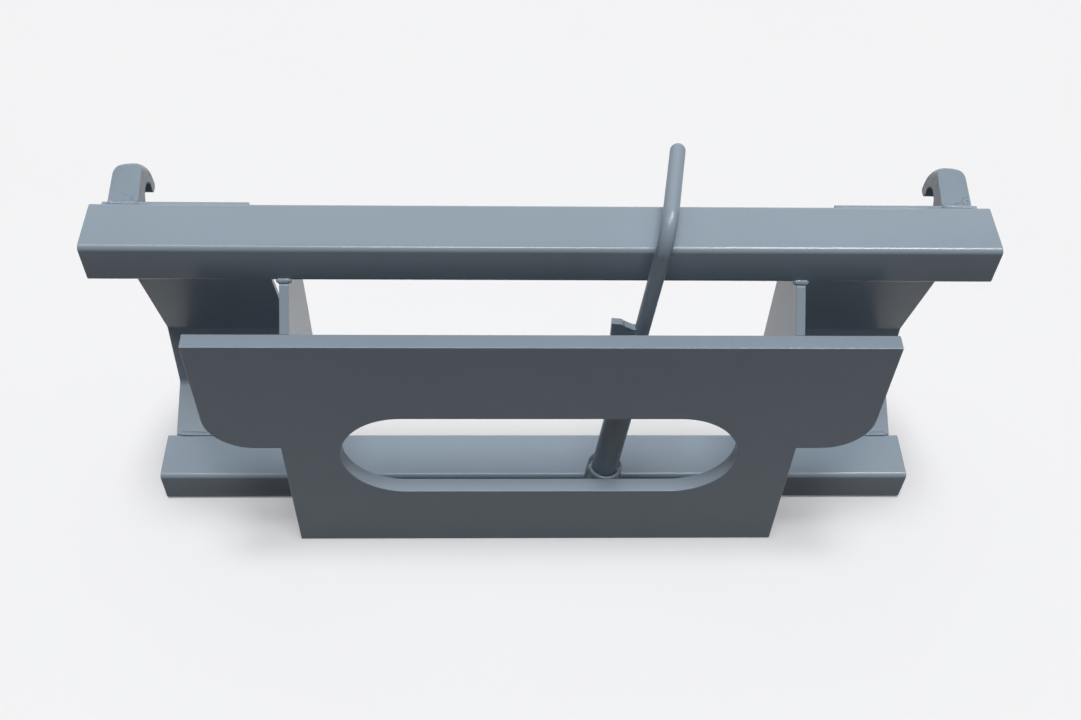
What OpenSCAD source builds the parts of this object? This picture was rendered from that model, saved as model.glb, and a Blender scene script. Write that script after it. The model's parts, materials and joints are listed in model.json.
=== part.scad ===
// Quick attach plate: a winged front plate, two cross tubes, ribs, bent side plates with hooks and a lift pin.
// X runs along the tubes, Y points away from the winged plate, Z is up and 0 is the floor.
// The origin is the middle of the bottom tube's underside.

/* [Cross tubes] */
// Length of both cross tubes
tube_len = 1143; // [1120:1:1300]
// Depth of the tubes, front to back
tube_d = 80; // [70:1:100]
// Height of the tubes
tube_h = 60; // [50:1:76]
// Wall of the tubes
tube_wall = 5; // [3:0.5:8]
// Outer corner radius of the tubes
tube_r = 7; // [5:0.5:10]
// Height of the frame, from the floor to the top of the top tube
frame_h = 557; // [540:1:600]

/* [Front plate] */
// Overall width of the winged plate
plate_w = 912; // [860:1:1000]
// Thickness of the plate
plate_t = 22; // [16:0.5:30]
// Height of the plate's top edge above the floor
plate_h = 456; // [440:1:470]
// Clear gap between the plate and the tubes, which the pin's sleeve fills
plate_gap = 52; // [51:1:60]
// Height of the wings, from the plate's top edge down
wing_h = 218; // [160:1:240]
// Radius of the wings' lower corners
wing_r = 64; // [30:1:90]
// Width of the lower tab
tab_w = 715; // [690:1:780]
// Length of the window
window_l = 554; // [400:1:600]
// Height of the window, which is also the diameter of its round ends
window_h = 175; // [120:1:185]
// Height of the window's centre above the floor
window_z = 218; // [205:1:222]

/* [Ribs] */
// Distance between the inner faces of the two ribs
rib_span = 642; // [620:1:650]
// Thickness of a rib
rib_t = 12; // [8:0.5:16]
// How far a rib's slanted edge ends in front of the top tube
rib_nose = 6; // [0:0.5:16]

/* [Side plates] */
// Width of a side plate
side_w = 185; // [150:1:195]
// Distance from the tube's end to the side plate's outer edge
side_inset = 12.5; // [5:0.5:25]
// Thickness of a side plate
side_t = 8; // [6:0.5:12]
// How far the side plate's top edge lies below the top of the top tube
side_drop = 7; // [4:0.5:10]
// How far the knee stands behind the tubes
knee_out = 92; // [70:1:110]
// Height of the knee above the floor
knee_z = 207; // [180:1:240]
// How far the heel stands behind the tubes
heel_out = 76; // [60:1:90]
// Height of the heel above the floor
heel_z = 94; // [85:1:110]
// Height of the toe where it meets the bottom tube, below the top of that tube
toe_drop = 2; // [0:0.5:6]
// Inside radius of the bends
bend_r = 10; // [6:0.5:16]
// Length of the lock slot in the lower flange
lock_slot_l = 72; // [50:1:90]
// Width of the lock slot
lock_slot_w = 30; // [22:1:36]

/* [Hooks] */
// Width of a hook
hook_w = 38; // [30:1:46]
// Distance from the side plate's outer edge to the hook
hook_inset = 7; // [2:0.5:20]
// Thickness of the hook's shank
hook_shank = 25; // [18:0.5:32]
// Radius of the hook's mouth
mouth_r = 18; // [15:0.5:24]
// Depth of the mouth's centre below the top of the top tube
mouth_drop = 38; // [32:0.5:42]
// Radius of the hook's back, from its peak down to its tip
hook_back_r = 90; // [86:1:120]
// Slope of the hook's top, in degrees
hook_slope = 15; // [8:0.5:18]
// Rounding of the hook's peak, its tip and its shoulder
tip_round = 5; // [3:0.5:5.5]
// Rounding of the hook's peak across its width
crown_edge = 10; // [4:0.5:14]
// How far the hook's tip reaches below the mouth's centre
tip_drop = 14; // [6:0.5:20]

/* [Lift pin] */
// Diameter of the pin
pin_d = 38; // [30:0.5:38.5]
// Lean of the pin to the right, in degrees
pin_lean = 5.4; // [0:0.1:8]
// Where the pin's axis meets the floor, right of the middle
pin_x = 87; // [40:1:120]
// Height of the pin's tip, along its axis
pin_tip = 8; // [5:0.5:20]
// Chamfer of the pin's tip
pin_chamfer = 5; // [2:0.5:8]
// Wall of the sleeve
sleeve_wall = 5; // [4:0.25:5.5]
// Top of the lower sleeve, along the pin's axis
sleeve_top = 127.5; // [110:0.5:150]
// Foot of the lower sleeve, along the pin's axis
sleeve_foot = 36; // [20:0.5:40]
// Height of the ledge that the liner rests on
ledge_h = 6; // [4:0.5:10]
// How far the liner's end lies below the lead-in chamfer
liner_sink = 2; // [1:0.5:6]
// Top of the upper guide, along the pin's axis
guide_top = 404; // [380:1:420]
// Length of the upper guide
guide_len = 78; // [50:1:90]
// Diameter of the handle bar
bar_d = 20; // [16:0.5:24]
// Height of the bar's corner above the pin, along the pin's axis
bar_rise = 212; // [200:1:240]
// Radius of the bar's bend, at the middle of the bar
bar_bend_r = 36; // [24:1:44]
// Reach of the bar from its corner, back over the top tube, without its round end
bar_reach = 148; // [100:1:170]
// Direction of the reaching bar, to the right of straight back, in degrees
bar_swing = 9; // [-10:0.5:15]
// Reach of the stop lug from the pin's axis
lug_reach = 42; // [34:0.5:46]
// Height of the stop lug
lug_h = 47; // [30:1:50]
// Thickness of the stop lug
lug_t = 10; // [6:0.5:12]

/* [Fits and welds] */
// Radial running clearance of the pin in the liner and the guide
pin_clear = 0.08; // [0.05:0.01:0.1]
// Radial running clearance of the liner in the sleeve
liner_clear = 0.08; // [0.05:0.01:0.1]
// Clearance under parts that rest on a stop
stop_clear = 0.3; // [0.2:0.05:0.5]
// Leg of the fillet welds
weld = 6; // [3:0.5:6.5]

/* [Hidden] */
$fn = 64;

front_y = -tube_d / 2;
back_y = tube_d / 2;
plate_back = front_y - plate_gap;
top_under = frame_h - tube_h;
side_outer = tube_len / 2 - side_inset;
side_inner = side_outer - side_w;
rib_in = rib_span / 2;
rib_out = rib_in + rib_t;

// Centre of the hook's mouth, as [y, z]
hook_front = back_y + side_t;
mouth = [hook_front + hook_shank + mouth_r, frame_h - mouth_drop];
hook_outer = side_outer - hook_inset;
hook_inner = hook_outer - hook_w;
shoulder_z = frame_h - side_drop;
// Thickness of the hook at its tip, and the centre that its back is drawn from
tip_t = 15;
back_centre = mouth + [mouth_r + tip_t - hook_back_r, -16];
// Peak of the hook, where its sloping top meets its back
hook_top = [cos(hook_slope), sin(hook_slope)];
to_shoulder = [hook_front, shoulder_z] - back_centre;
half_chord = sqrt(pow(to_shoulder * hook_top, 2) - to_shoulder * to_shoulder + pow(hook_back_r, 2));
peak = [hook_front, shoulder_z] + hook_top * (half_chord - to_shoulder * hook_top);

pin_y = front_y - plate_gap / 2;
sleeve_od = plate_gap;
sleeve_bore = sleeve_od - 2 * sleeve_wall;
// The bore widens at 45 degrees towards the rim and leaves a narrow flat ring there
rim_flat = 1;
sleeve_lead = sleeve_wall - rim_flat;
liner_od = sleeve_bore - 2 * liner_clear;
run_bore = pin_d + 2 * pin_clear;
ledge_bore = pin_d + 1;
sleeve_len = sleeve_top - sleeve_foot;
pin_top = guide_top + stop_clear;

// The lug's outer part is a tall blade with one round corner, and a slope joins it to the bar
lug_nose = 6;
lug_foot = lug_h * 0.55;
lug_mid = lug_reach * 0.6;

// The seams beside a sleeve start and end at these distances from the middle of it
seam_near = sleeve_od / 8;
seam_far = sleeve_od / 3.5;

steel_grey = [0.44, 0.47, 0.51];
dark_grey = [0.33, 0.35, 0.38];
weld_grey = [0.50, 0.53, 0.57];
bare_steel = [0.62, 0.61, 0.58];

// A flat outline drawn in [y, z] and given a thickness along X from x0
module along_x(x0, thick) {
    translate([x0, 0, 0]) rotate([90, 0, 90]) linear_extrude(thick) children();
}

// A flat outline drawn in [x, z] and given a thickness along Y from y0
module along_y(y0, thick) {
    translate([0, y0 + thick, 0]) rotate([90, 0, 0]) linear_extrude(thick) children();
}

// Places children along the pin's leaning axis
module on_pin(s) {
    translate([pin_x, pin_y, 0]) rotate([0, pin_lean, 0]) translate([0, 0, s]) children();
}

// A rectangle with round corners, centred
module round_rect(w, h, r) {
    square([w - 2 * r, h], center = true);
    square([w, h - 2 * r], center = true);
    for (x = [-1, 1], y = [-1, 1])
        translate([x * (w / 2 - r), y * (h / 2 - r)]) circle(r);
}

// A slot with round ends, centred, along X
module round_slot(len, wid) {
    square([len - wid, wid], center = true);
    for (x = [-1, 1]) translate([x * (len - wid) / 2, 0]) circle(d = wid);
}

// Quarter round section of a fillet weld, in the corner of the +x and +y directions
module bead() {
    intersection() {
        circle(weld);
        square(weld);
    }
}

module tube_outline() {
    round_rect(tube_d, tube_h, tube_r);
}

// Both cross tubes are the same rectangular section, open at its ends
module cross_tube(z_mid) {
    translate([0, 0, z_mid]) along_x(-tube_len / 2, tube_len) difference() {
        tube_outline();
        round_rect(tube_d - 2 * tube_wall, tube_h - 2 * tube_wall, tube_r - tube_wall / 2);
    }
}

module top_tube() {
    color(steel_grey) cross_tube(frame_h - tube_h / 2);
}

module bottom_tube() {
    color(steel_grey) cross_tube(tube_h / 2);
}

// Wings with round lower corners over a narrower tab, and the window through both
module plate_outline() {
    wing_z = plate_h - wing_h;
    difference() {
        union() {
            translate([-plate_w / 2, wing_z + wing_r]) square([plate_w, wing_h - wing_r]);
            translate([-plate_w / 2 + wing_r, wing_z]) square([plate_w - 2 * wing_r, wing_h]);
            for (x = [-1, 1])
                translate([x * (plate_w / 2 - wing_r), wing_z + wing_r]) circle(wing_r);
            translate([-tab_w / 2, 0]) square([tab_w, plate_h]);
        }
        translate([0, window_z]) round_slot(window_l, window_h);
    }
}

module front_plate() {
    color(steel_grey) along_y(plate_back - plate_t, plate_t) plate_outline();
}

// A rib ties the plate to both tubes and stands on the floor in front of the bottom tube
module rib(side) {
    x0 = side > 0 ? rib_in : -rib_out;
    along_x(x0, rib_t) polygon([
        [plate_back, 0], [front_y, 0], [front_y, tube_h], [back_y, tube_h],
        [back_y, top_under], [front_y - rib_nose, top_under], [plate_back, plate_h]]);
}

module left_rib() {
    color(steel_grey) rib(-1);
}

module right_rib() {
    color(steel_grey) rib(1);
}

function unit(v) = v / norm(v);
function left_of(v) = [-v[1], v[0]];
function spin(v, a) = [v[0] * cos(a) - v[1] * sin(a), v[0] * sin(a) + v[1] * cos(a)];

// Points of one face round the bend at p[i]; depth is 0 on the front face and the thickness on the back
function bend(p, i, depth, steps = 6) =
    let (d1 = unit(p[i] - p[i - 1]), d2 = unit(p[i + 1] - p[i]),
         s = sign(d1[0] * d2[1] - d1[1] * d2[0]), a = acos(d1 * d2),
         r = s > 0 ? bend_r + side_t : bend_r,
         centre = p[i] - d1 * r * tan(a / 2) + left_of(d1) * s * r)
    [for (k = [0:steps]) centre - spin(left_of(d1), s * a * k / steps) * s * (r - s * depth)];

// Front face of a side plate, from its top edge to just inside the bottom tube
toe = [back_y, tube_h - toe_drop];
heel = [back_y + heel_out, heel_z];
side_path = [[back_y, frame_h - side_drop], [back_y, top_under], [back_y + knee_out, knee_z],
    heel, toe + unit(toe - heel) * side_t * 1.5];

// One face of the bent plate, as a line of points
function side_face(depth) = let (p = side_path, n = len(p), d0 = unit(p[1] - p[0]),
        dn = unit(p[n - 1] - p[n - 2]))
    concat([p[0] + left_of(d0) * depth],
        [for (i = [1:n - 2]) each bend(p, i, depth)],
        [p[n - 1] + left_of(dn) * depth]);

function reversed(list) = [for (i = [len(list) - 1:-1:0]) list[i]];

// The sheet's outline, trimmed flush against the back of the bottom tube
module side_outline() {
    difference() {
        polygon(concat(side_face(0), reversed(side_face(side_t))));
        translate([back_y - 2 * tube_d, 0]) square([2 * tube_d, frame_h]);
    }
}

// Slot for the carrier's wedge, square to the lower flange and in the middle of it
module lock_slot() {
    mid = (toe + heel) / 2;
    slope = atan2(heel[1] - toe[1], heel[0] - toe[0]);
    translate([(side_outer + side_inner) / 2, mid[0], mid[1]]) rotate([slope, 0, 0])
        linear_extrude(4 * side_t, center = true) round_slot(lock_slot_l, lock_slot_w);
}

module side_plate() {
    difference() {
        along_x(side_inner, side_w) side_outline();
        lock_slot();
    }
}

module left_side_plate() {
    color(steel_grey) mirror([1, 0, 0]) side_plate();
}

module right_side_plate() {
    color(steel_grey) side_plate();
}

// Side view of a hook before its foot is fitted to the side plate
module hook_side() {
    tip_z = mouth[1] - tip_drop;
    shank_back = hook_front + hook_shank;
    offset(r = tip_round) offset(delta = -tip_round) difference() {
        union() {
            intersection() {
                translate(back_centre) circle(hook_back_r, $fn = 128);
                polygon([[hook_front, tip_z], [hook_front, shoulder_z], peak + hook_top * tip_t,
                    [peak[0] + hook_shank + tip_t, tip_z]]);
            }
            translate([hook_front, knee_z]) square([hook_shank, mouth[1] - knee_z]);
        }
        translate(mouth) circle(mouth_r);
        translate([shank_back, knee_z]) square([2 * mouth_r, mouth[1] - knee_z]);
    }
}

// Everything in front of the side plate's back face, which the foot of the hook is cut to
module ahead_of_side() {
    polygon(concat([[-frame_h, frame_h], [hook_front, frame_h]], side_face(side_t), [[-frame_h, 0]]));
}

// A hook with its peak rounded off across its width, square to the 45 degree line over the mouth
module hook() {
    peak_out = (peak - mouth) * [sin(45), sin(45)];
    intersection() {
        along_x(hook_inner, hook_w) difference() {
            hook_side();
            ahead_of_side();
        }
        translate([hook_inner + hook_w / 2, mouth[0], mouth[1]]) rotate([45, 0, 0])
            linear_extrude(2 * frame_h, center = true) translate([0, peak_out - frame_h / 2])
                round_rect(hook_w, frame_h, crown_edge);
    }
}

module left_hook() {
    color(steel_grey) mirror([1, 0, 0]) hook();
}

module right_hook() {
    color(steel_grey) hook();
}

// Lower sleeve between the plate and the bottom tube, with a ledge inside its foot
module pin_sleeve() {
    color(steel_grey) on_pin(sleeve_foot) difference() {
        cylinder(h = sleeve_len, d = sleeve_od);
        translate([0, 0, ledge_h]) cylinder(h = sleeve_len, d = sleeve_bore);
        translate([0, 0, -1]) cylinder(h = sleeve_len, d = ledge_bore);
        translate([0, 0, sleeve_len - sleeve_lead])
            cylinder(h = 2 * sleeve_lead, d1 = sleeve_bore, d2 = sleeve_bore + 4 * sleeve_lead);
    }
}

// Upper guide behind the plate, above the window
module pin_guide() {
    color(steel_grey) on_pin(guide_top - guide_len) difference() {
        cylinder(h = guide_len, d = sleeve_od);
        translate([0, 0, -1]) cylinder(h = guide_len + 2, d = run_bore);
    }
}

// Wear liner that the pin slides in and that can turn in the sleeve
module sleeve_liner() {
    low = sleeve_foot + ledge_h + stop_clear;
    len = sleeve_top - sleeve_lead - liner_sink - low;
    color(bare_steel) on_pin(low) difference() {
        cylinder(h = len, d = liner_od);
        translate([0, 0, -1]) cylinder(h = len + 2, d = run_bore);
    }
}

module lock_pin() {
    color(steel_grey) on_pin(pin_tip) {
        cylinder(h = pin_chamfer, d1 = pin_d - 2 * pin_chamfer, d2 = pin_d);
        translate([0, 0, pin_chamfer]) cylinder(h = pin_top - pin_tip - pin_chamfer, d = pin_d);
    }
}

// Bar on top of the pin, bent square to reach back over the top tube, with a round end
module pin_handle() {
    color(dark_grey) on_pin(pin_top) rotate([0, 0, -bar_swing]) {
        cylinder(h = bar_rise - bar_bend_r, d = bar_d);
        translate([0, bar_bend_r, bar_rise - bar_bend_r]) rotate([90, 0, -90])
            rotate_extrude(angle = 90) translate([bar_bend_r, 0]) circle(d = bar_d);
        translate([0, bar_bend_r, bar_rise]) rotate([-90, 0, 0]) rotate_extrude() {
            square([bar_d / 2, bar_reach - bar_bend_r]);
            translate([0, bar_reach - bar_bend_r]) intersection() {
                circle(d = bar_d);
                square(bar_d);
            }
        }
    }
}

// Side view of the stop lug, with its foot at 0; its outer edge is upright while the pin leans
module lug_side() {
    low = lug_reach - lug_h * tan(pin_lean);
    polygon([[-low, 0], [0, 0], [0, lug_foot], [-bar_d / 2, lug_foot], [-lug_mid, lug_h - lug_nose],
        [-lug_mid - lug_nose, lug_h], [-lug_reach, lug_h]]);
    translate([-lug_mid - lug_nose, lug_h - lug_nose]) circle(lug_nose);
}

// Flat lug on the bar; it stops the pin on the guide, and lifted and turned it rests on the top tube
module stop_lug() {
    color(dark_grey) on_pin(pin_top) difference() {
        along_y(-lug_t / 2, lug_t) lug_side();
        cylinder(h = 3 * lug_h, d = bar_d, center = true);
    }
}

module rib_welds() {
    step = weld;
    plate_run = plate_h - 4 * step;
    seat_run = tube_d - 2 * tube_r;
    for (s = [-1, 1]) translate([s > 0 ? rib_out : rib_in, 0, 0]) mirror([s > 0 ? 0 : 1, 0, 0]) {
        // Up the back of the plate
        translate([0, plate_back, 2 * step]) linear_extrude(plate_run) bead();
        // Under the top tube
        translate([0, back_y - tube_r, top_under]) rotate([90, 0, 0]) mirror([0, 1, 0])
            linear_extrude(seat_run) bead();
        // On top of the bottom tube
        translate([0, back_y - tube_r, tube_h]) rotate([90, 0, 0]) linear_extrude(seat_run) bead();
    }
    // Across the rib's nose, filling the round lower corner of the top tube
    along_x(rib_in - weld, rib_t + 2 * weld) difference() {
        polygon([[front_y - rib_nose, top_under], [front_y + tube_r, top_under], [front_y, top_under + weld]]);
        translate([0, frame_h - tube_h / 2]) tube_outline();
    }
}

module left_rib_welds() {
    color(weld_grey) mirror([1, 0, 0]) rib_welds();
}

module right_rib_welds() {
    color(weld_grey) rib_welds();
}

// Seam on the side plate's top edge, filling the round upper corner of the top tube
module top_seam() {
    seat = frame_h - side_drop;
    difference() {
        polygon([[back_y - tube_r, seat], [back_y + weld, seat],
            [back_y - tube_r / 3, seat + min(weld, side_drop)]]);
        translate([0, frame_h - tube_h / 2]) tube_outline();
    }
}

// Seam where the toe of the side plate meets the bottom tube
module toe_seam() {
    difference() {
        translate(toe) intersection() {
            circle(weld);
            translate([-weld, 0]) square([2 * weld, weld]);
        }
        translate([0, tube_h / 2]) tube_outline();
        side_outline();
    }
}

module side_welds() {
    along_x(side_inner + weld, side_w - hook_w - hook_inset - 2 * weld) top_seam();
    along_x(side_inner + weld, side_w - 2 * weld) toe_seam();
}

module left_side_welds() {
    color(weld_grey) mirror([1, 0, 0]) side_welds();
}

module right_side_welds() {
    color(weld_grey) side_welds();
}

// Seam across the hook's foot, from the tube over the side plate's edge to the rounded shoulder
module hook_seam() {
    difference() {
        polygon([[back_y - tube_r, shoulder_z - 1], [hook_front + tip_round, shoulder_z - tip_round],
            [hook_front + tip_round, shoulder_z + tip_round * tan(hook_slope)],
            [back_y - tube_r / 3, shoulder_z + min(weld, side_drop)]]);
        translate([0, frame_h - tube_h / 2]) tube_outline();
        side_outline();
        hook_side();
    }
}

// Seam across the hook's foot, and upright seams on both sides of its shank
module hook_welds() {
    along_x(hook_inner, hook_w) hook_seam();
    run = shoulder_z - top_under - 2 * weld;
    for (s = [-1, 1])
        translate([s > 0 ? hook_outer : hook_inner, hook_front, top_under + weld])
            mirror([s > 0 ? 0 : 1, 0, 0]) linear_extrude(run) bead();
}

module left_hook_welds() {
    color(weld_grey) mirror([1, 0, 0]) hook_welds();
}

module right_hook_welds() {
    color(weld_grey) hook_welds();
}

// Seams in the narrow corners between a sleeve and the flat face in front of it or behind it
module sleeve_seam(side) {
    for (x = [-1, 1]) difference() {
        translate([x > 0 ? seam_near : -seam_far, side > 0 ? 0 : -sleeve_od / 2])
            square([seam_far - seam_near, sleeve_od / 2]);
        circle(d = sleeve_od);
    }
}

// Round section of the seam on the sleeve's rim, resting on the lead-in chamfer
module rim_seam() {
    half = sleeve_wall / 2;
    difference() {
        translate([sleeve_od / 2 - half, 0]) circle(half);
        polygon([[sleeve_od / 2, 0], [sleeve_od / 2 - rim_flat, 0], [sleeve_bore / 2, -sleeve_lead],
            [sleeve_bore / 2, -2 * sleeve_wall], [sleeve_od / 2, -2 * sleeve_wall]]);
    }
}

module sleeve_welds() {
    // The rear seams lie against the flat front of the bottom tube
    tube_run = tube_h - tube_r - sleeve_foot - weld / 2;
    color(weld_grey) {
        // Over the front half of the sleeve's rim
        on_pin(sleeve_top) rotate([0, 0, 180]) rotate_extrude(angle = 180) rim_seam();
        on_pin(sleeve_foot + weld) linear_extrude(sleeve_len - 2 * weld) sleeve_seam(-1);
        on_pin(sleeve_foot + weld / 2) linear_extrude(tube_run) sleeve_seam(1);
    }
}

module guide_welds() {
    color(weld_grey) on_pin(guide_top - guide_len + weld) linear_extrude(guide_len - 2 * weld)
        sleeve_seam(-1);
}

// Seams between the lug and the bar, up both sides and over the lug's slope
module lug_weld() {
    half = lug_t / 2;
    near = -bar_d / 4;
    fill = lug_h - 1.5 * lug_nose;
    color(weld_grey) on_pin(pin_top) difference() {
        union() {
            for (s = [0, 1]) mirror([0, s, 0]) linear_extrude(lug_foot)
                polygon([[-bar_d / 2 - weld, half], [near, half], [near, bar_d / 2]]);
            along_y(-half, lug_t) difference() {
                polygon([[-lug_mid, lug_h - lug_nose], [-bar_d / 2, lug_foot], [0, lug_foot],
                    [0, fill], [-bar_d / 2 - weld / 2, fill], [-lug_mid, lug_h - lug_nose / 2]]);
                lug_side();
            }
        }
        cylinder(h = 3 * lug_h, d = bar_d, center = true);
    }
}

top_tube();
bottom_tube();
front_plate();
left_rib();
right_rib();
left_side_plate();
right_side_plate();
left_hook();
right_hook();
pin_sleeve();
pin_guide();
sleeve_liner();
lock_pin();
pin_handle();
stop_lug();
left_rib_welds();
right_rib_welds();
left_side_welds();
right_side_welds();
left_hook_welds();
right_hook_welds();
sleeve_welds();
guide_welds();
lug_weld();
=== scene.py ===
"""Dresses the quick attach plate: bevelled plates, drawn tubes, forged hooks, rippled weld beads
and one grey powder coat, on a pale floor. Every length is in metres, in the CAD part's frame."""

import json
import math
import random

import bmesh
import bpy
from mathutils import Matrix, Vector

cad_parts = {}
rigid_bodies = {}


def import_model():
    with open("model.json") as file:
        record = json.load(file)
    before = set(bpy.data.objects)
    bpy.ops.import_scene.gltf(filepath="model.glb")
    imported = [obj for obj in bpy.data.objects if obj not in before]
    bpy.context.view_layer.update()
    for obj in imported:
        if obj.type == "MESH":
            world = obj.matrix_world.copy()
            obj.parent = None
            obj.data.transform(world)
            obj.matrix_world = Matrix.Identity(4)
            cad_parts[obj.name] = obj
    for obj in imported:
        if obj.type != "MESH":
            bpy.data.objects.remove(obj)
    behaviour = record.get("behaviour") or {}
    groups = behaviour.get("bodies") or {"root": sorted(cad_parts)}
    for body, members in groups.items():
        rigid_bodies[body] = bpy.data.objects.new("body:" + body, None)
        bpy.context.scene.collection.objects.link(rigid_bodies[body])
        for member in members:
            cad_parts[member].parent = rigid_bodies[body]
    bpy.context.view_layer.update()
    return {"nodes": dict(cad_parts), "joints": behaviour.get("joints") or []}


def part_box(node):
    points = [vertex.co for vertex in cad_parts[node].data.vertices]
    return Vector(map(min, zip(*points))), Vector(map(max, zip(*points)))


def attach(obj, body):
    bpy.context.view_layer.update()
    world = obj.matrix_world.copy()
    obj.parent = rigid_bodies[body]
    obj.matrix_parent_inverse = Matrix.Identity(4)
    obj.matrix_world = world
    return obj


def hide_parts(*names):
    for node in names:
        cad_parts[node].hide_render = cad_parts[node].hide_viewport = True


bl_info = {
    "name": "Quick attach plate",
    "version": (1, 0, 0),
    "blender": (4, 5, 0),
    "location": "View3D > Sidebar > Attach Plate",
    "description": "Gives a skid steer quick attach plate its bevels, weld beads and powder coat",
    "category": "Object",
}

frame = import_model()
NODES = frame["nodes"]

# Lowest and highest corners of the parts that the beads are laid against
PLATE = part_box("front_plate")
TOP_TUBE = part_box("top_tube")
BOTTOM_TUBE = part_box("bottom_tube")
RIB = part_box("right_rib")
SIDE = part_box("right_side_plate")
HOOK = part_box("right_hook")

# Thickness of the bent side plates, and the slope of the hooks' faces above their feet
SHEET = 0.008
HOOK_SLOPE = math.tan(math.radians(15))

# How strongly the coat's clear skin bends light, kept low so that its sheen stays soft
COAT_IOR = 1.32

# The pin leans to the right, as its joint's axis says
PIN_JOINT = next(j for j in frame["joints"] if j["name"] == "pin_turn")
PIN_FOOT = Vector(PIN_JOINT["pos_m"])
PIN_AXIS = Vector(PIN_JOINT["axis"]).normalized()


class PaintSettings(bpy.types.PropertyGroup):
    coat: bpy.props.StringProperty(
        name="Coat", description="Colour of the powder coat, as sRGB hex", default="#8E9CA9"
    )
    coat_shade: bpy.props.StringProperty(
        name="Coat shade", description="Tone of the coat where it went on thicker",
        default="#8997A4"
    )
    bare: bpy.props.StringProperty(
        name="Bare steel", description="Colour of the turned liner", default="#9C9EA0"
    )
    gloss: bpy.props.FloatProperty(
        name="Roughness", description="Middle roughness of the satin coat", default=0.21,
        min=0.1, max=0.9
    )
    peel: bpy.props.FloatProperty(
        name="Orange peel", description="Width of one bump of the coat's orange peel",
        default=0.0025, unit="LENGTH"
    )


class EdgeSettings(bpy.types.PropertyGroup):
    plate: bpy.props.FloatProperty(
        name="Plate edge", description="Rounding of the cut plate's edges", default=0.0012,
        unit="LENGTH"
    )
    sheet: bpy.props.FloatProperty(
        name="Sheet edge", description="Rounding of the bent sheets' and ribs' edges",
        default=0.0008, unit="LENGTH"
    )
    forged: bpy.props.FloatProperty(
        name="Hook edge", description="Rounding of the forged hooks' edges", default=0.0024,
        unit="LENGTH"
    )
    turned: bpy.props.FloatProperty(
        name="Bar edge", description="Rounding of the sleeves' and bars' edges", default=0.0007,
        unit="LENGTH"
    )


class BeadSettings(bpy.types.PropertyGroup):
    leg: bpy.props.FloatProperty(
        name="Leg", description="Leg of the weld beads", default=0.0060, unit="LENGTH"
    )
    pitch: bpy.props.FloatProperty(
        name="Ripple pitch", description="Distance from one ripple to the next", default=0.0036,
        unit="LENGTH"
    )
    depth: bpy.props.FloatProperty(
        name="Ripple depth", description="Share of the bead's height that a ripple falls",
        default=0.17, min=0.0, max=0.5
    )


class StudioSettings(bpy.types.PropertyGroup):
    floor: bpy.props.StringProperty(
        name="Floor", description="Colour of the floor that the camera sees", default="#F1F1F2"
    )
    overhead: bpy.props.FloatProperty(
        name="Overhead", description="Strength of the broad overhead light", default=0.50
    )
    main_light: bpy.props.FloatProperty(
        name="Main light", description="Strength of the light from above the plate", default=2.20
    )
    rear: bpy.props.FloatProperty(
        name="Rear light", description="Strength of the soft light on the back", default=0.7
    )
    floor_light: bpy.props.FloatProperty(
        name="Floor light", description="Strength of the light that only the floor gets",
        default=2.66
    )
    right: bpy.props.FloatProperty(
        name="Right side", description="Power of the tall softbox on the right", default=28.0
    )
    left: bpy.props.FloatProperty(
        name="Left side", description="Power of the softbox on the left", default=8.0
    )
    spark: bpy.props.FloatProperty(
        name="Edge light", description="Power of the lamp that draws the tubes' edges",
        default=72.0
    )


def linear(hex_colour):
    """A colour written as sRGB hex, as the linear colour that a socket takes."""
    parts = [int(hex_colour[i:i + 2], 16) / 255 for i in (1, 3, 5)]
    return [c / 12.92 if c <= 0.04045 else ((c + 0.055) / 1.055) ** 2.4 for c in parts] + [1.0]


def add(tree, kind, inputs=(), **settings):
    """Adds a node. Each input is a value, or an output socket to link from."""
    made = tree.nodes.new(kind)
    for name, value in settings.items():
        setattr(made, name, value)
    for name, value in dict(inputs).items():
        if isinstance(value, bpy.types.NodeSocket):
            tree.links.new(value, made.inputs[name])
        else:
            made.inputs[name].default_value = value
    return made


def new_material(name):
    """An empty material with its output, and the object's own coordinates in metres."""
    made = bpy.data.materials.new(name)
    made.use_nodes = True
    made.node_tree.nodes.clear()
    tree = made.node_tree
    return made, tree, add(tree, "ShaderNodeTexCoord").outputs["Object"]


def followed_by_eye(tree):
    """1 for rays that the eye follows, straight, mirrored or through something clear, and 0 for
    the rays that carry light from one surface to another."""
    path = add(tree, "ShaderNodeLightPath")
    followed = path.outputs["Is Camera Ray"]
    for kind in ("Is Glossy Ray", "Is Transmission Ray"):
        followed = add(tree, "ShaderNodeMath", {0: followed, 1: path.outputs[kind]},
                       operation="MAXIMUM").outputs[0]
    return followed


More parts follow.
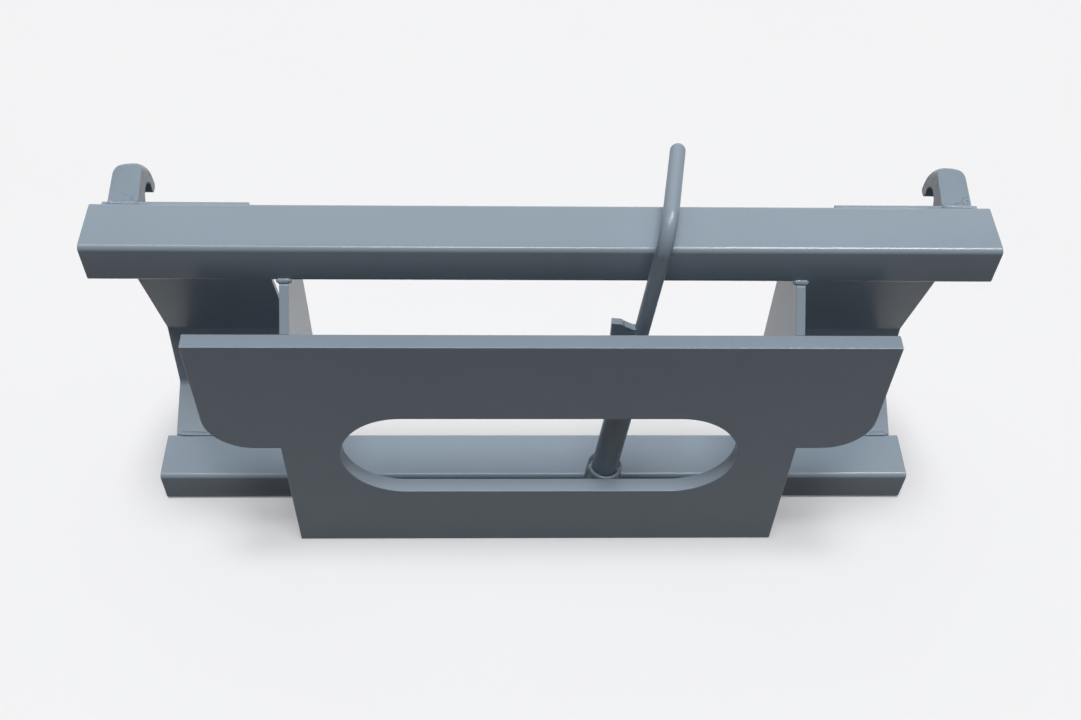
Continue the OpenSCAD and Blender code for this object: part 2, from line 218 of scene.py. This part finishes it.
def powder_coat(name, peel_height, cut_edges=False, rough_shift=0.0, dents=None):
    """Grey polyester powder coat, sprayed and baked on steel. It gives an even satin grey with a
    clear top skin, whose sheen is broken by a fine orange peel.

    dents is the width and the depth of the unevenness below the coat.
    """
    paint = bpy.context.scene.attach_paint
    made, tree, place = new_material(name)
    # Faint drift of tone with the film's thickness, about 120 mm across
    drift = 0.12
    slow = add(tree, "ShaderNodeTexNoise", {"Vector": place, "Scale": 1 / drift, "Detail": 2.0,
                                            "Roughness": 0.5})
    tone = add(tree, "ShaderNodeMix", {"Factor": slow.outputs["Fac"], 6: linear(paint.coat),
                                       7: linear(paint.coat_shade)}, data_type="RGBA")
    # Orange peel, a real bump every 2 to 3 mm
    peel = add(tree, "ShaderNodeTexNoise", {"Vector": place, "Scale": 1 / paint.peel,
                                            "Detail": 1.0, "Roughness": 0.4})
    height = add(tree, "ShaderNodeBump", {"Height": peel.outputs["Fac"], "Strength": 1.0,
                                          "Distance": peel_height})
    if cut_edges:
        # Drag lines of the cut, 1.6 mm apart, run through the plate's thickness and show only on
        # its edges
        line_pitch, line_depth = 0.0016, 0.00035
        facing = add(tree, "ShaderNodeSeparateXYZ",
                     {"Vector": add(tree, "ShaderNodeNewGeometry").outputs["Normal"]})
        lines = add(tree, "ShaderNodeMapping", {"Vector": place, "Scale": (1, 0.06, 1)})
        drag = add(tree, "ShaderNodeTexNoise", {"Vector": lines.outputs["Vector"],
                                                "Scale": 1 / line_pitch, "Detail": 2.0})
        across = add(tree, "ShaderNodeMath", {0: facing.outputs["Y"]}, operation="ABSOLUTE")
        edge = add(tree, "ShaderNodeMapRange", {"Value": across.outputs[0], "From Min": 0.2,
                                                "From Max": 0.6, "To Min": 1.0, "To Max": 0.0})
        height = add(tree, "ShaderNodeBump", {"Height": drag.outputs["Fac"],
                                              "Strength": edge.outputs["Result"],
                                              "Distance": line_depth,
                                              "Normal": height.outputs["Normal"]})
    if dents:
        # Forging scale and weld metal lie uneven under the coat
        dent_width, dent_depth = dents
        uneven = add(tree, "ShaderNodeTexNoise", {"Vector": place, "Scale": 1 / dent_width,
                                                  "Detail": 1.0, "Roughness": 0.4})
        height = add(tree, "ShaderNodeBump", {"Height": uneven.outputs["Fac"], "Strength": 1.0,
                                              "Distance": dent_depth,
                                              "Normal": height.outputs["Normal"]})
    # Handling leaves the sheen slightly uneven, about 40 mm across
    rub_width, uneven_by = 0.04, 0.03
    rubs = add(tree, "ShaderNodeTexNoise", {"Vector": place, "Scale": 1 / rub_width,
                                            "Detail": 2.0, "Roughness": 0.5})
    sheen = add(tree, "ShaderNodeMapRange",
                {"Value": rubs.outputs["Fac"], "From Min": 0.0, "From Max": 1.0,
                 "To Min": paint.gloss - uneven_by + rough_shift,
                 "To Max": paint.gloss + uneven_by + rough_shift})
    shader = add(tree, "ShaderNodeBsdfPrincipled",
                 {"Base Color": tone.outputs[2], "Roughness": sheen.outputs["Result"],
                  "Metallic": 0.0, "IOR": COAT_IOR, "Normal": height.outputs["Normal"]})
    add(tree, "ShaderNodeOutputMaterial", {"Surface": shader.outputs["BSDF"]})
    return made


def turned_steel(name):
    """Mild steel tube, turned and left bare. Its fine tool rings draw the light into a streak."""
    paint = bpy.context.scene.attach_paint
    made, tree, place = new_material(name)
    lean = math.atan2(PIN_AXIS.x, PIN_AXIS.z)
    along = add(tree, "ShaderNodeMapping", {"Vector": place, "Rotation": (0, -lean, 0),
                                            "Scale": (0.04, 0.04, 1)})
    # Tool rings 0.5 mm apart, drawn twice as coarse so that they show
    ring_pitch = 0.001
    rings = add(tree, "ShaderNodeTexNoise", {"Vector": along.outputs["Vector"],
                                             "Scale": 1 / ring_pitch, "Detail": 1.0})
    height = add(tree, "ShaderNodeBump", {"Height": rings.outputs["Fac"], "Distance": 0.0002})
    rough = add(tree, "ShaderNodeMapRange", {"Value": rings.outputs["Fac"], "To Min": 0.28,
                                             "To Max": 0.46})
    shader = add(tree, "ShaderNodeBsdfPrincipled",
                 {"Base Color": linear(paint.bare), "Metallic": 1.0,
                  "Roughness": rough.outputs["Result"], "Normal": height.outputs["Normal"]})
    add(tree, "ShaderNodeOutputMaterial", {"Surface": shader.outputs["BSDF"]})
    return made


def finish_of(slot):
    """The material for a slot of the record, made the first time it is asked for."""
    made = {
        "paint": ("powder coat on drawn tube and sheet", powder_coat, {"peel_height": 0.00010}),
        "plate_paint": ("powder coat on cut plate", powder_coat,
                        {"peel_height": 0.00012, "cut_edges": True}),
        "hook_paint": ("powder coat on forged steel", powder_coat,
                       {"peel_height": 0.00020, "rough_shift": -0.02, "dents": (0.009, 0.0007)}),
        "pin_paint": ("powder coat on round bar", powder_coat,
                      {"peel_height": 0.00008, "rough_shift": 0.12}),
        "weld_paint": ("powder coat on weld bead", powder_coat,
                       {"peel_height": 0.00020, "rough_shift": -0.03, "dents": (0.0035, 0.0012)}),
        "liner_steel": ("turned mild steel", turned_steel, {}),
    }
    name, maker, settings = made[slot]
    return bpy.data.materials.get(name) or maker(name, **settings)


def as_piece(mesh, name, slot, body, *replaced):
    """Turns a bmesh into a painted piece that rides on a body and stands for CAD nodes."""
    data = bpy.data.meshes.new(name)
    mesh.to_mesh(data)
    mesh.free()
    data.shade_smooth()
    data.materials.append(finish_of(slot))
    piece = bpy.data.objects.new(name, data)
    bpy.context.scene.collection.objects.link(piece)
    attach(piece, body)
    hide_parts(*replaced)
    return piece


def rounded_copy(node, name, slot, body, radius, segments=2, crease=28):
    """A copy of a CAD node with its edges rounded over, as grinding and paint leave them. A radius
    of 0 leaves them as they are."""
    mesh = bmesh.new()
    mesh.from_mesh(NODES[node].data)
    # Flat triangles become whole faces first, so that only real edges are rounded
    bmesh.ops.remove_doubles(mesh, verts=mesh.verts, dist=1e-5)
    bmesh.ops.dissolve_limit(mesh, angle_limit=math.radians(0.6), verts=mesh.verts,
                             edges=mesh.edges, use_dissolve_boundaries=False)
    piece = as_piece(mesh, name, slot, body, node)
    piece.data.set_sharp_from_angle(angle=math.radians(crease))
    if not radius:
        return piece
    over = piece.modifiers.new("Rounded edges", "BEVEL")
    over.width = radius
    over.segments = segments
    over.limit_method = "ANGLE"
    over.angle_limit = math.radians(crease)
    over.harden_normals = True
    over.use_clamp_overlap = True
    return piece


def ripple_fall(run, settings):
    """How far a bead's face falls behind its last crest, as a share of the bead's height."""
    phase = (run / settings.pitch) % 1.0
    return settings.depth * (1 - abs(2 * phase - 1) ** 0.7)


def lay_bead(mesh, start, end, leg_a, leg_b, settings, sink=0.0006):
    """Lays a rippled fillet bead from start to end, with its legs on two walls.

    start and end lie in the corner, and leg_a and leg_b lead from there up the two walls.
    """
    start, end, leg_a, leg_b = (Vector(v) for v in (start, end, leg_a, leg_b))
    along = end - start
    length = along.length
    along.normalize()
    inward = -(leg_a.normalized() + leg_b.normalized()).normalized() * sink
    # Outline of the bead across its run: the buried corner, and a slightly crowned face
    face_steps, face_crown, face_sink = 6, 0.16, 0.4
    outline = [inward]
    for i in range(face_steps + 1):
        t = i / face_steps
        crown = face_crown * math.sin(math.pi * t)
        outline.append(leg_a * (1 - t) + leg_b * t + (leg_a + leg_b) * crown + inward * face_sink)
    corners = [mesh.verts.new(start + p) for p in outline]
    first = mesh.faces.new(corners)
    steps = max(4, round(length / settings.pitch * 3))
    bmesh.ops.spin(mesh, geom=[first] + list(first.edges) + corners, cent=start, axis=along,
                   dvec=along * (length / steps), angle=0.0, steps=steps)
    # The mesh holds other beads too, so this one's points are found along its edges
    reached, front = set(corners), set(corners)
    while front:
        front = {e.other_vert(v) for v in front for e in v.link_edges} - reached
        reached |= front
    # Each ripple is a crescent: it drops behind its crest, and lags at the two toes
    lag, taper = 0.0022, 0.006
    for v in reached:
        run = (v.co - start).dot(along)
        offset = v.co - start - along * run
        side = (offset.dot(leg_a) / leg_a.length_squared
                - offset.dot(leg_b) / leg_b.length_squared)
        fall = ripple_fall(run + lag * side * side, settings)
        # A hand-laid bead swells and thins a little along its run
        drift = 0.05 * math.sin(run * 61.0 + start.x * 40) + 0.03 * math.sin(run * 173.0)
        ends = min(1.0, 0.5 + min(run, length - run) / taper)
        v.co = start + along * run + offset * ((1 - fall + drift) * ends)


def lay_rim_bead(mesh, centre, start, axis, angle, radius, settings):
    """Lays a rippled bead of round section along an arc that begins at start."""
    sides, taper = 12, 0.012
    out = (start - centre).normalized()
    ring = [mesh.verts.new(start + (out * math.cos(a) + axis * math.sin(a)) * radius)
            for a in (math.tau * i / sides for i in range(sides))]
    first = mesh.faces.new(ring)
    arc = (start - centre).length
    steps = round(angle * arc / settings.pitch * 3)
    bmesh.ops.spin(mesh, geom=[first] + list(first.edges) + ring, cent=centre, axis=axis,
                   angle=angle, steps=steps)
    turn = axis.cross(out)
    for v in mesh.verts:
        flat = v.co - centre
        along = math.atan2(flat.dot(turn), flat.dot(out)) % math.tau
        # A point just before the start has gone round to nearly a full turn
        along = 0.0 if along > angle + 1 else along
        middle = centre + Matrix.Rotation(along, 3, axis) @ (start - centre)
        run = along * arc
        ends = min(1.0, 0.3 + min(run, angle * arc - run) / taper)
        drift = 0.06 * math.sin(run * 130)
        v.co = middle + (v.co - middle) * ((1 - ripple_fall(run, settings) + drift) * ends)


def beads(name, body, replaced, runs, rim=None):
    """One piece holding several rippled beads, and before them one along a rim if asked for."""
    settings = bpy.context.scene.attach_beads
    mesh = bmesh.new()
    if rim:
        lay_rim_bead(mesh, *rim, settings)
    for run in runs:
        lay_bead(mesh, *run, settings)
    bmesh.ops.recalc_face_normals(mesh, faces=mesh.faces)
    return as_piece(mesh, name, "weld_paint", body, replaced)


def mirrored(runs, side):
    """The same beads on the left when side is -1, and as they are when it is 1."""
    flip = Vector((side, 1, 1))
    return [[Vector(v) * flip for v in run] for run in runs]


def on_pin(x, y, s):
    """A point beside the pin's axis: x across to the right, y to the rear, s up the axis."""
    across = Vector((PIN_AXIS.z, 0, -PIN_AXIS.x))
    return PIN_FOOT + across * x + Vector((0, y, 0)) + PIN_AXIS * s


class ATTACH_OT_tubes(bpy.types.Operator):
    """Cross tubes: drawn rectangular tube with sawn ends"""

    bl_idname = "attach.tubes"
    bl_label = "Cross tubes"

    def execute(self, context):
        edges = context.scene.attach_edges
        for which in ("top", "bottom"):
            rounded_copy(f"{which}_tube", f"{which}_cross_tube", "paint", "frame", edges.sheet)
        return {"FINISHED"}


class ATTACH_OT_winged_plate(bpy.types.Operator):
    """Winged front plate: thick plate, cut out with its window and dressed at the edges"""

    bl_idname = "attach.winged_plate"
    bl_label = "Winged plate"

    def execute(self, context):
        rounded_copy("front_plate", "winged_plate", "plate_paint", "frame",
                     context.scene.attach_edges.plate, segments=3)
        return {"FINISHED"}


class ATTACH_OT_ribs(bpy.types.Operator):
    """Ribs and bent side plates, with their cut edges dressed"""

    bl_idname = "attach.ribs"
    bl_label = "Ribs and side plates"

    def execute(self, context):
        edges = context.scene.attach_edges
        for side in ("left", "right"):
            rounded_copy(f"{side}_rib", f"{side}_web", "plate_paint", "frame", edges.sheet)
            rounded_copy(f"{side}_side_plate", f"{side}_bent_plate", "paint", "frame", edges.sheet)
        return {"FINISHED"}


class ATTACH_OT_hooks(bpy.types.Operator):
    """Forged hooks with generously rounded edges and a crown that is highest near their inner
    side"""

    bl_idname = "attach.hooks"
    bl_label = "Hooks"

    def execute(self, context):
        for side, sign in (("left", -1), ("right", 1)):
            piece = rounded_copy(f"{side}_hook", f"{side}_forged_hook", "hook_paint", "frame",
                                 context.scene.attach_edges.forged, segments=3, crease=38)
            self.crown(piece.data, sign)
        return {"FINISHED"}

    def crown(self, data, sign):
        """Swells the hook's back and top away from its mouth, and leaves mouth and foot alone."""
        mesh = bmesh.new()
        mesh.from_mesh(data)
        inner, outer = HOOK[0].x, HOOK[1].x
        strips = 8
        for i in range(1, strips):
            cut = sign * (inner + (outer - inner) * i / strips)
            bmesh.ops.bisect_plane(mesh, geom=list(mesh.verts) + list(mesh.edges)
                                   + list(mesh.faces), plane_co=(cut, 0, 0), plane_no=(1, 0, 0))
        bmesh.ops.dissolve_degenerate(mesh, edges=mesh.edges, dist=1e-6)
        mouth = Vector((0, HOOK[0].y + 0.043, TOP_TUBE[1].z - 0.038))
        # The swelling is largest a third of the way out from the inner side
        most, peak, rest = 0.003, 0.33, 0.67
        for v in mesh.verts:
            away = v.co - mouth
            away.x = 0
            share = (v.co.x * sign - inner) / (outer - inner)
            swell = most - 2 * most * ((share - peak) / rest) ** 2
            # It fades out towards the mouth's wall, down to the foot, and towards the front
            for amount, start, span in ((away.length, 0.019, 0.012), (away.z, 0.008, 0.022),
                                        (v.co.y, HOOK[0].y + 0.006, 0.016)):
                swell *= min(1.0, max(0.0, (amount - start) / span))
            v.co += away.normalized() * swell
        mesh.to_mesh(data)
        mesh.free()


class ATTACH_OT_lock_pin(bpy.types.Operator):
    """Lock pin with its sleeve, guide, liner, bent handle and stop lug"""

    bl_idname = "attach.lock_pin"
    bl_label = "Lock pin"

    def execute(self, context):
        edge = context.scene.attach_edges.turned
        rounded_copy("pin_sleeve", "lower_sleeve", "paint", "frame", edge)
        rounded_copy("pin_guide", "upper_guide", "paint", "frame", edge)
        rounded_copy("sleeve_liner", "wear_liner", "liner_steel", "liner", edge)
        rounded_copy("lock_pin", "pin_shaft", "pin_paint", "pin", edge)
        rounded_copy("stop_lug", "lug_blade", "pin_paint", "pin", edge)
        rounded_copy("pin_handle", "bent_handle", "pin_paint", "pin", edge)
        rounded_copy("lug_weld", "lug_bead", "weld_paint", "pin", 0)
        return {"FINISHED"}


class ATTACH_OT_frame_beads(bpy.types.Operator):
    """Weld beads of the ribs, the side plates and the hooks"""

    bl_idname = "attach.frame_beads"
    bl_label = "Frame beads"

    def execute(self, context):
        leg = context.scene.attach_beads.leg
        back = PLATE[1].y
        near, far = TOP_TUBE[0].y, TOP_TUBE[1].y
        under, over = TOP_TUBE[0].z, BOTTOM_TUBE[1].z
        # Beads keep off the tubes' rounded corners, and end a little before the plate does
        corner, stop = 0.007, 0.012
        first, last = near + corner, far - corner
        rib = []
        for x, out in ((RIB[0].x, -leg), (RIB[1].x, leg)):
            rib.append([(x, back, stop), (x, back, PLATE[1].z - stop), (out, 0, 0), (0, leg, 0)])
            rib.append([(x, first, under), (x, last, under), (out, 0, 0), (0, 0, -leg)])
            rib.append([(x, first, over), (x, last, over), (out, 0, 0), (0, 0, leg)])
        # A short one across the rib, at the top tube's lower front corner
        rib.append([(RIB[0].x - 0.004, near + 0.002, under + 0.0005),
                    (RIB[1].x + 0.004, near + 0.002, under + 0.0005),
                    (0, -leg, 0), (0, -0.001, leg)])
        # Along the top and the toe of the side plate, on the two tubes
        shoulder = SIDE[1].z
        side = [
            [(SIDE[0].x + leg, far - 0.0015, shoulder), (HOOK[0].x - 0.002, far - 0.0015, shoulder),
             (0, leg, 0), (0, -0.001, leg * 0.9)],
            [(SIDE[0].x + leg, far - 0.0012, over - 0.0022),
             (SIDE[1].x - leg, far - 0.0012, over - 0.0022),
             (0, leg * 0.9, leg * 0.43), (0, -leg * 0.6, leg * 0.7)],
        ]
        # Up both flanks of the hook on the side plate, and along its foot beside the top tube
        face = far + SHEET
        hook = []
        for x, out in ((HOOK[0].x, -leg), (HOOK[1].x, leg)):
            hook.append([(x, face, under + 0.006), (x, face, shoulder - 0.004), (out, 0, 0),
                         (0, leg, 0)])
        hook.append([(HOOK[0].x - 0.002, far, shoulder - 0.002),
                     (HOOK[1].x + 0.001, far, shoulder - 0.002),
                     (0, 0.0125, 0.0005), (0, -0.0015, 0.0085)])
        for side_name, sign in (("left", -1), ("right", 1)):
            beads(f"{side_name}_rib_beads", "frame", f"{side_name}_rib_welds", mirrored(rib, sign))
            beads(f"{side_name}_plate_beads", "frame", f"{side_name}_side_welds",
                  mirrored(side, sign))
            beads(f"{side_name}_hook_beads", "frame", f"{side_name}_hook_welds",
                  mirrored(hook, sign))
        return {"FINISHED"}


class ATTACH_OT_pin_beads(bpy.types.Operator):
    """Weld beads of the lower sleeve and the upper guide"""

    bl_idname = "attach.pin_beads"
    bl_label = "Pin beads"

    def execute(self, context):
        radius = (TOP_TUBE[0].y - PLATE[1].y) / 2
        across = Vector((PIN_AXIS.z, 0, -PIN_AXIS.x))
        foot, rim = self.heights("pin_sleeve")
        low, top = self.heights("pin_guide")

        def groove(low_end, high_end, rear):
            """Beads in the two grooves beside the line where a sleeve touches the plate in front
            of it, with rear -1, or the tube behind it, with rear 1."""
            runs = []
            wall = radius * rear
            for x in (-1, 1):
                aside = x * radius * 0.24
                runs.append([on_pin(aside, wall, low_end), on_pin(aside, wall, high_end),
                             across * (x * radius * 0.33),
                             across * (x * radius * 0.28) - Vector((0, wall * 0.14, 0))])
            return runs

        # The last bead runs over the front half of the sleeve's rim
        half = radius * 0.12
        front = (on_pin(0, 0, rim), on_pin(half - radius, 0, rim), PIN_AXIS, math.pi, half)
        beads("sleeve_beads", "frame", "sleeve_welds",
              groove(foot + 0.006, rim - 0.006, -1) + groove(foot + 0.003, 0.052, 1), front)
        beads("guide_beads", "frame", "guide_welds", groove(low + 0.006, top - 0.006, -1))
        return {"FINISHED"}

    def heights(self, node):
        """Heights of a sleeve's two ends along the pin's axis."""
        along = [(v.co - PIN_FOOT).dot(PIN_AXIS) for v in NODES[node].data.vertices]
        return min(along), max(along)


class ATTACH_OT_spatter(bpy.types.Operator):
    """Weld spatter that the paint has sealed in, beside the hooks and along the ribs"""

    bl_idname = "attach.spatter"
    bl_label = "Spatter"

    def execute(self, context):
        chance = random.Random(7)
        mesh = bmesh.new()
        beside_hook, along_rib, on_face = 16, 14, 14
        for sign in (-1, 1):
            for _ in range(beside_hook):
                x = chance.choice((HOOK[0].x - 0.006, HOOK[1].x + 0.004))
                spot = Vector((sign * (x + chance.uniform(-0.010, 0.002)),
                               TOP_TUBE[1].y + SHEET, chance.uniform(0.500, 0.545)))
                self.blob(mesh, spot, chance.uniform(0.0004, 0.0010))
            for _ in range(along_rib):
                spot = Vector((sign * chance.uniform(RIB[0].x - 0.03, RIB[1].x + 0.03),
                               PLATE[1].y, chance.uniform(0.10, 0.44)))
                self.blob(mesh, spot, chance.uniform(0.0004, 0.0009))
        # Specks on the sloping face above each hook's foot, nearer to its right side
        for left, right in ((-HOOK[1].x + 0.014, -HOOK[0].x - 0.003),
                            (HOOK[0].x + 0.012, HOOK[1].x - 0.003)):
            for _ in range(on_face):
                back = chance.uniform(0.002, 0.013)
                spot = Vector((chance.triangular(left, right, right), HOOK[0].y + back,
                               SIDE[1].z + back * HOOK_SLOPE))
                self.blob(mesh, spot, chance.uniform(0.0007, 0.0014))
        as_piece(mesh, "weld_spatter", "weld_paint", "frame")
        return {"FINISHED"}

    def blob(self, mesh, spot, radius):
        """One speck, half sunk in what it sits on."""
        bmesh.ops.create_icosphere(mesh, subdivisions=1, radius=radius,
                                   matrix=Matrix.Translation(spot))


class ATTACH_OT_studio(bpy.types.Operator):
    """Pale floor and sky, lamps from above, the sides and the rear, and the camera"""

    bl_idname = "attach.studio"
    bl_label = "Studio"

    def execute(self, context):
        settings = context.scene.attach_studio
        floor = self.floor(settings)
        self.sky(settings)
        self.lamps(settings, floor)
        self.camera(context)
        return {"FINISHED"}

    def floor(self, settings):
        """A seamless pale floor. The camera and reflections see it pale, and it throws only a
        little light back up on the object."""
        half_width, mottle, glow_share = 14.0, 0.4, 0.14
        mesh = bmesh.new()
        bmesh.ops.create_grid(mesh, x_segments=8, y_segments=8, size=half_width)
        data = bpy.data.meshes.new("studio_floor")
        mesh.to_mesh(data)
        mesh.free()
        made, tree, place = new_material("matt studio floor")
        grain = add(tree, "ShaderNodeTexNoise", {"Vector": place, "Scale": 1 / mottle,
                                                 "Detail": 2.0})
        pale = linear(settings.floor)
        tint = add(tree, "ShaderNodeMix", {"Factor": grain.outputs["Fac"], 6: pale,
                                           7: [c * 0.985 for c in pale[:3]] + [1]},
                   data_type="RGBA")
        dark = add(tree, "ShaderNodeBsdfDiffuse", {"Color": linear("#3A3B3E")})
        # The seen floor glows a little, so that the object's shadow on it stays light
        lit = add(tree, "ShaderNodeBsdfDiffuse", {"Color": tint.outputs[2]})
        glow = add(tree, "ShaderNodeEmission", {"Color": tint.outputs[2], "Strength": 1.0})
        light = add(tree, "ShaderNodeMixShader", {0: glow_share, 1: lit.outputs[0],
                                                  2: glow.outputs[0]})
        both = add(tree, "ShaderNodeMixShader", {0: followed_by_eye(tree), 1: dark.outputs[0],
                                                 2: light.outputs[0]})
        add(tree, "ShaderNodeOutputMaterial", {"Surface": both.outputs[0]})
        data.materials.append(made)
        floor = bpy.data.objects.new("studio_floor", data)
        bpy.context.scene.collection.objects.link(floor)
        return floor

    def sky(self, settings):
        """The same pale tone behind the object. As a lamp the sky is very weak."""
        world = bpy.context.scene.world or bpy.data.worlds.new("studio")
        bpy.context.scene.world = world
        world.use_nodes = True
        tree = world.node_tree
        tree.nodes.clear()
        pale = add(tree, "ShaderNodeBackground", {"Color": linear(settings.floor),
                                                  "Strength": 1.0})
        dim = add(tree, "ShaderNodeBackground", {"Color": linear("#E4E9F2"), "Strength": 0.04})
        both = add(tree, "ShaderNodeMixShader", {0: followed_by_eye(tree), 1: dim.outputs[0],
                                                 2: pale.outputs[0]})
        add(tree, "ShaderNodeOutputWorld", {"Surface": both.outputs[0]})

    def lamps(self, settings, floor):
        """Light from above, so that faces that look up are bright and the front is dark. The main
        light passes the top tube, so that it also reaches the bottom tube. Two lamps that only the
        sheen sees draw the highlights along the edges. The floor has a sun of its own, so that its
        tone is even and its shadow lies close to the object."""
        self.sun("overhead", settings.overhead, 70, (0.0, 0.5, 3.0))
        main_light = self.sun("main_light", settings.main_light, 18, (0.0, -0.38, 3.0))
        rear = self.sun("rear_light", settings.rear, 60, (0.0, 3.0, 1.3))
        right = self.panel("right_softbox", 1.1, 2.6, settings.right, (4.4, -0.6, 2.8), (0, 0, 0.3))
        left = self.panel("left_softbox", 1.6, 2.0, settings.left, (-4.4, -0.6, 2.8), (0, 0, 0.3))
        edges = []
        for name, x, wide, share in (("right_edge_light", 0.95, 0.9, 1.0),
                                     ("left_edge_light", -1.05, 0.5, 0.17)):
            edges.append(self.panel(name, wide, 0.9, settings.spark * share, (x, 0.3, 2.5),
                                    (x, 0.3, 0)))
            edges[-1].visible_diffuse = False
        for lamp in (main_light, rear, right, left):
            self.link(lamp, [floor], "EXCLUDE")
        top_tube = [o for o in bpy.data.objects if o.name == "top_cross_tube"]
        self.link(main_light, top_tube, "EXCLUDE", "blocker_collection")
        hooks = [o for o in bpy.data.objects if o.name.endswith("forged_hook")]
        for lamp in edges:
            self.link(lamp, [floor, *hooks], "EXCLUDE")
        self.link(self.sun("floor_light", settings.floor_light, 18, (0.0, -0.08, 3.0)), [floor],
                  "INCLUDE")

    def link(self, lamp, things, state, which="receiver_collection"):
        """Keeps a lamp off some things, or for them alone. As blockers, excluded things throw no
        shadow in its light."""
        group = bpy.data.collections.new(lamp.name + "_" + which)
        setattr(lamp.light_linking, which, group)
        for thing in things:
            group.objects.link(thing)
        for held in group.collection_objects:
            held.light_linking.link_state = state

    def sun(self, name, strength, spread, place):
        """A far lamp that shines from place towards the origin, spread degrees wide."""
        lamp = bpy.data.lights.new(name, "SUN")
        lamp.energy = strength
        lamp.angle = math.radians(spread)
        return self.aim(name, lamp, Vector(place), Vector((0, 0, 0)))

    def panel(self, name, wide, tall, power, place, target):
        """A softbox."""
        lamp = bpy.data.lights.new(name, "AREA")
        lamp.shape = "RECTANGLE"
        lamp.size, lamp.size_y = wide, tall
        lamp.energy = power
        return self.aim(name, lamp, Vector(place), Vector(target))

    def aim(self, name, lamp, place, target):
        """Hangs a lamp at place, looking at target."""
        held = bpy.data.objects.new(name, lamp)
        held.location = place
        held.rotation_euler = (target - place).to_track_quat("-Z", "Y").to_euler()
        bpy.context.scene.collection.objects.link(held)
        return held

    def camera(self, context):
        """The photograph's viewpoint: 51 degrees down, a little to the right, slightly rolled."""
        place = (-0.0517, -1.1449, 1.7024)
        pitch, yaw, roll = (math.radians(a) for a in (50.90, 2.65, 2.15))
        # Both in the photograph's pixels
        photo_width, focal_length = 1081, 1289.63
        ahead = Vector((math.sin(yaw) * math.cos(pitch), math.cos(yaw) * math.cos(pitch),
                        -math.sin(pitch)))
        right = Vector((math.cos(yaw), -math.sin(yaw), 0))
        up = right.cross(ahead)
        x_axis = right * math.cos(roll) + up * math.sin(roll)
        y_axis = up * math.cos(roll) - right * math.sin(roll)
        turned = Matrix((x_axis, y_axis, -ahead)).transposed().to_4x4()
        lens = bpy.data.cameras.new("photo_camera")
        lens.sensor_width = 36.0
        lens.lens = focal_length * lens.sensor_width / photo_width
        lens.clip_end = 60
        camera = bpy.data.objects.new("photo_camera", lens)
        camera.matrix_world = Matrix.Translation(place) @ turned
        context.scene.collection.objects.link(camera)
        context.scene.camera = camera
        context.scene.view_settings.view_transform = "Standard"


STEPS = (
    ATTACH_OT_tubes,
    ATTACH_OT_winged_plate,
    ATTACH_OT_ribs,
    ATTACH_OT_hooks,
    ATTACH_OT_lock_pin,
    ATTACH_OT_frame_beads,
    ATTACH_OT_pin_beads,
    ATTACH_OT_spatter,
    ATTACH_OT_studio,
)


class ATTACH_PT_panel(bpy.types.Panel):
    """Sizes, colours and steps of the quick attach plate"""

    bl_label = "Attach plate"
    bl_idname = "ATTACH_PT_panel"
    bl_space_type = "VIEW_3D"
    bl_region_type = "UI"
    bl_category = "Attach Plate"

    def draw(self, context):
        for group in ("attach_paint", "attach_edges", "attach_beads", "attach_studio"):
            settings = getattr(context.scene, group)
            box = self.layout.box()
            for name in settings.__annotations__:
                box.prop(settings, name)
        for step in STEPS:
            self.layout.operator(step.bl_idname)


GROUPS = {
    "attach_paint": PaintSettings,
    "attach_edges": EdgeSettings,
    "attach_beads": BeadSettings,
    "attach_studio": StudioSettings,
}


def register():
    for name, group in GROUPS.items():
        bpy.utils.register_class(group)
        setattr(bpy.types.Scene, name, bpy.props.PointerProperty(type=group))
    for step in STEPS:
        bpy.utils.register_class(step)
    bpy.utils.register_class(ATTACH_PT_panel)


def unregister():
    bpy.utils.unregister_class(ATTACH_PT_panel)
    for step in reversed(STEPS):
        bpy.utils.unregister_class(step)
    for name, group in GROUPS.items():
        delattr(bpy.types.Scene, name)
        bpy.utils.unregister_class(group)


def main():
    register()
    bpy.ops.attach.tubes()
    bpy.ops.attach.winged_plate()
    bpy.ops.attach.ribs()
    bpy.ops.attach.hooks()
    bpy.ops.attach.lock_pin()
    bpy.ops.attach.frame_beads()
    bpy.ops.attach.pin_beads()
    bpy.ops.attach.spatter()
    bpy.ops.attach.studio()


if __name__ == "__main__":
    main()
